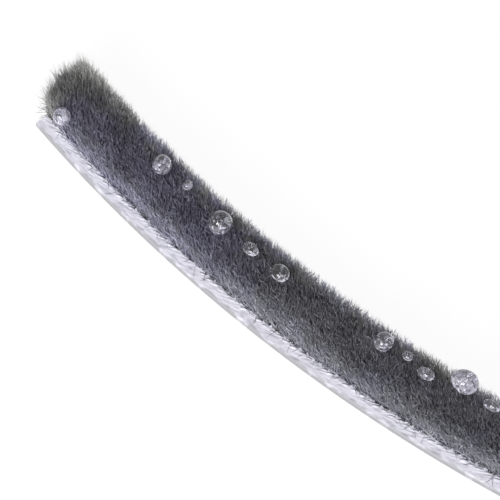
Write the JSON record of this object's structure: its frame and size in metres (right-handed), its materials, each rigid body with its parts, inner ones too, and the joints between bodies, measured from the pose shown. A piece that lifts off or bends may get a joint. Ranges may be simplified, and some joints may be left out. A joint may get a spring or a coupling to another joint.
{
  "type": "brush seal strip",
  "caption": "Brush seal strip: a flat woven tape carrying a dense upright pile of fibre tufts, for sealing the running gap of a door or window.",
  "frame": {"origin": "on the tape's back face, on its centreline, halfway along the stock", "axes": "+X along the straight run of the stock, away from the bowed end; +Y across the tape, towards the side that the bow curves to; +Z from the tape's back towards the pile's tips"},
  "size_m": [0.9981, 0.0339, 0.007],
  "materials": {
    "tape": "white coated weave with a slight gloss, a faint lengthwise grain and bright loops along the pile",
    "pile": "dense fine polypropylene fibres, grey with a lavender tint, paler at the tips",
    "water_beads": "clear water standing in beads on the tips of the pile, a state of the surface and no piece of the stock"
  },
  "bodies": {
    "root": {"backing_tape": "tape", "pile": "pile"}
  },
  "joints": []
}
